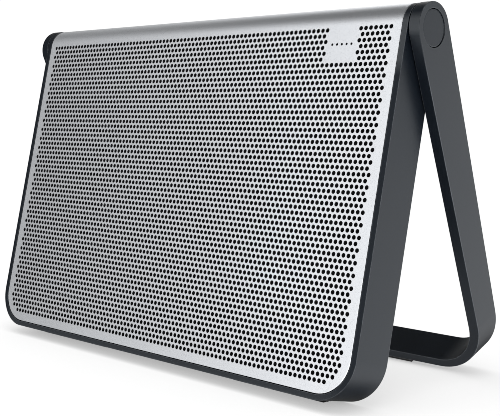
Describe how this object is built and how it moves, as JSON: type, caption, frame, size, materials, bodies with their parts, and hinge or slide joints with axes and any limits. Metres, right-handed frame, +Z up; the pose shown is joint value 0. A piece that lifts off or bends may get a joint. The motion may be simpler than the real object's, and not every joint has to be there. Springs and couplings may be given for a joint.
{
  "type": "portable wireless speaker",
  "caption": "Slim slab-shaped wireless speaker with a perforated metal front that rolls over its top edge, leaning on a U-shaped swing stand hinged at the ends of the roll.",
  "frame": {"origin": "on the ground, under the centre of the outline", "axes": "+Z up, +X to the right seen from the front, -Y towards the listener (the perforated front)"},
  "size_m": [0.249, 0.105, 0.161],
  "materials": {
    "silver_aluminium": "satin, fine bead-blasted and anodised",
    "dark_metal": "satin dark slate grey, very fine texture",
    "dark_plastic": "matte, lightly textured",
    "rubber": "matte",
    "steel": "plain",
    "cloth": "fine black open weave",
    "clear_plastic": "clear to milky",
    "cone": "matte pressed cone",
    "board": "solder mask",
    "battery_wrap": "shrink wrap",
    "copper": "plain",
    "bush_plastic": "moulded",
    "wire_red": "insulation",
    "wire_black": "insulation"
  },
  "bodies": {
    "speaker": {"front_grille": "silver_aluminium", "main_frame": "dark_metal", "rear_cover": "dark_plastic", "cover_gasket": "rubber", "rear_screw_1": "steel", "rear_screw_2": "steel", "rear_screw_3": "steel", "rear_screw_4": "steel", "rear_screw_5": "steel", "rear_screw_6": "steel", "button_board": "board", "acoustic_cloth": "cloth", "status_light_bar": "clear_plastic", "baffle": "dark_plastic", "baffle_gasket_left": "rubber", "driver_basket_left": "steel", "driver_surround_left": "rubber", "driver_cone_left": "cone", "driver_magnet_left": "steel", "speaker_wire_left": "wire_red", "baffle_gasket_right": "rubber", "driver_basket_right": "steel", "driver_surround_right": "rubber", "driver_cone_right": "cone", "driver_magnet_right": "steel", "speaker_wire_right": "wire_black", "passive_surround": "rubber", "passive_radiator": "cone", "main_board": "board", "shield_can": "steel", "antenna": "copper", "battery_pack": "battery_wrap", "battery_cable": "wire_red", "port_board": "board", "aux_jack": "bush_plastic", "charge_port": "steel", "slab_foot_left": "rubber", "hinge_bush_left": "bush_plastic", "friction_washer_left": "steel", "hinge_block_left": "steel", "slab_foot_right": "rubber", "hinge_bush_right": "bush_plastic", "friction_washer_right": "steel", "hinge_block_right": "steel"},
    "stand": {"stand_frame": "dark_metal", "arm_cap_left": "dark_metal", "hinge_pin_left": "steel", "hinge_nut_left": "steel", "stand_foot_left": "rubber", "arm_cap_right": "dark_metal", "hinge_pin_right": "steel", "hinge_nut_right": "steel", "stand_foot_right": "rubber"},
    "power_key": {"power_button": "dark_plastic"},
    "pair_key": {"pair_button": "dark_plastic"},
    "volume_down_key": {"volume_down_button": "dark_plastic"},
    "volume_up_key": {"volume_up_button": "dark_plastic"},
    "port_door": {"port_flap": "dark_plastic"}
  },
  "joints": [
    {"name": "stand_hinge", "type": "hinge", "parent": "speaker", "child": "stand", "pos_m": [0, -0.00755, 0.15049], "axis": [1, 0, 0], "range_deg": [-26, 146.7]},
    {"name": "power_press", "type": "slide", "parent": "speaker", "child": "power_key", "axis": [0, -0.9732, 0.23], "range_m": [0, 0.0005]},
    {"name": "pair_press", "type": "slide", "parent": "speaker", "child": "pair_key", "axis": [0, -0.9732, 0.23], "range_m": [0, 0.0005]},
    {"name": "volume_down_press", "type": "slide", "parent": "speaker", "child": "volume_down_key", "axis": [0, -0.9732, 0.23], "range_m": [0, 0.0005]},
    {"name": "volume_up_press", "type": "slide", "parent": "speaker", "child": "volume_up_key", "axis": [0, -0.9732, 0.23], "range_m": [0, 0.0005]},
    {"name": "port_flap_hinge", "type": "hinge", "parent": "speaker", "child": "port_door", "pos_m": [-0.079, -0.02912, 0.01903], "axis": [-1, 0, 0], "range_deg": [0, 95]}
  ]
}
